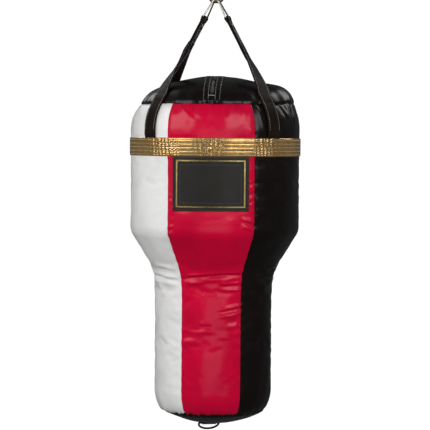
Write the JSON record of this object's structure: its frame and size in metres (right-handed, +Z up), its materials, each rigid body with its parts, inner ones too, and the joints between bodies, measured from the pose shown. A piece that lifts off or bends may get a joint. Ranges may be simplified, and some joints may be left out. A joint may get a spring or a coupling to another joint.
{
  "type": "heavy punching bag",
  "caption": "Heavy punching bag with a wide upper barrel tapering to a slimmer lower one, hung by sewn straps, triangle rings, a carabiner and a ball-bearing swivel.",
  "frame": {"origin": "centre of the swivel's upper eye, from which the bag hangs", "axes": "+Z up along the bag's axis, -Y towards the front, which carries the label patch"},
  "size_m": [0.491, 0.491, 1.4093],
  "materials": {
    "forged_steel": "satin",
    "nickel_steel": "polished",
    "strap_webbing": "semi-gloss",
    "black_vinyl": "semi-gloss, fine grain",
    "red_vinyl": "semi-gloss, fine grain",
    "white_vinyl": "semi-gloss, fine grain",
    "gold_vinyl": "metallic, crinkled",
    "gold_foil": "metallic print",
    "zip_tape_fabric": "woven",
    "zip_plastic": "moulded",
    "zip_metal": "antique nickel",
    "dark_steel": "blackened",
    "foam": "open cell",
    "canvas": "plain weave",
    "shredded_textile": "loose scraps"
  },
  "bodies": {
    "swivel_top": {"swivel_eye": "forged_steel", "swivel_nut": "forged_steel", "swivel_nut_pin": "forged_steel", "thrust_washer_lower": "forged_steel", "thrust_balls": "forged_steel"},
    "swivel_body": {"swivel_housing": "forged_steel", "swivel_bow": "forged_steel", "thrust_washer_upper": "forged_steel"},
    "carabiner": {"carabiner_body": "nickel_steel", "gate_pin": "nickel_steel"},
    "gate": {"carabiner_gate": "nickel_steel", "gate_spring": "nickel_steel"},
    "bag": {"triangle_ring_left": "nickel_steel", "triangle_ring_right": "nickel_steel", "strap_rivets": "nickel_steel", "hanging_strap_left": "strap_webbing", "hanging_strap_right": "strap_webbing", "d_ring_tab": "strap_webbing", "top_cap_left": "black_vinyl", "top_cap_right": "black_vinyl", "bottom_cap": "black_vinyl", "label_patch": "black_vinyl", "d_ring_patch": "black_vinyl", "panel_black_front_right": "black_vinyl", "panel_black_back_left": "black_vinyl", "panel_red_front": "red_vinyl", "panel_red_back": "red_vinyl", "panel_white_back_right": "white_vinyl", "panel_white_front_left": "white_vinyl", "gold_band": "gold_vinyl", "label_frame": "gold_foil", "zip_tape_left": "zip_tape_fabric", "zip_tape_right": "zip_tape_fabric", "zip_coil_left": "zip_plastic", "zip_coil_right": "zip_plastic", "zip_stops": "zip_metal", "foam_jacket_upper": "foam", "foam_jacket_taper": "foam", "foam_jacket_lower": "foam", "foam_disc_top": "foam", "foam_disc_bottom": "foam", "inner_liner": "canvas", "textile_filling": "shredded_textile"},
    "zip_slider": {"zip_slider": "zip_metal"},
    "zip_pull": {"zip_pull": "zip_metal"},
    "bottom_ring": {"bottom_d_ring": "dark_steel"}
  },
  "joints": [
    {"name": "swivel_spin", "type": "hinge", "parent": "swivel_top", "child": "swivel_body", "pos_m": [0, 0, 0], "axis": [0, 0, 1], "continuous": true},
    {"name": "side_swing", "type": "hinge", "parent": "swivel_body", "child": "carabiner", "pos_m": [0, 0, -0.073], "axis": [0, 1, 0], "range_deg": [-45, 45]},
    {"name": "front_swing", "type": "hinge", "parent": "carabiner", "child": "bag", "pos_m": [0, 0, -0.1537], "axis": [1, 0, 0], "range_deg": [-45, 45]},
    {"name": "gate_hinge", "type": "hinge", "parent": "carabiner", "child": "gate", "pos_m": [0.01669, 0, -0.12347], "axis": [0, -1, 0], "range_deg": [0, 24], "stiffness_Nm_per_rad": 0.2, "springref_deg": -17.19},
    {"name": "zip_travel", "type": "hinge", "parent": "bag", "child": "zip_slider", "pos_m": [0, 0, -0.7767], "axis": [1, 0, 0], "range_deg": [-40.5, 9.5]},
    {"name": "pull_flip", "type": "hinge", "parent": "zip_slider", "child": "zip_pull", "pos_m": [0, -0.11058, -0.37795], "axis": [1, 0, 0], "range_deg": [0, 165]},
    {"name": "bottom_ring_hinge", "type": "hinge", "parent": "bag", "child": "bottom_ring", "pos_m": [-0.013, 0.022, -1.36791], "axis": [0.9781, 0.2079, 0], "range_deg": [-115, 25], "stiffness_Nm_per_rad": 0.06, "springref_deg": 4.58}
  ]
}
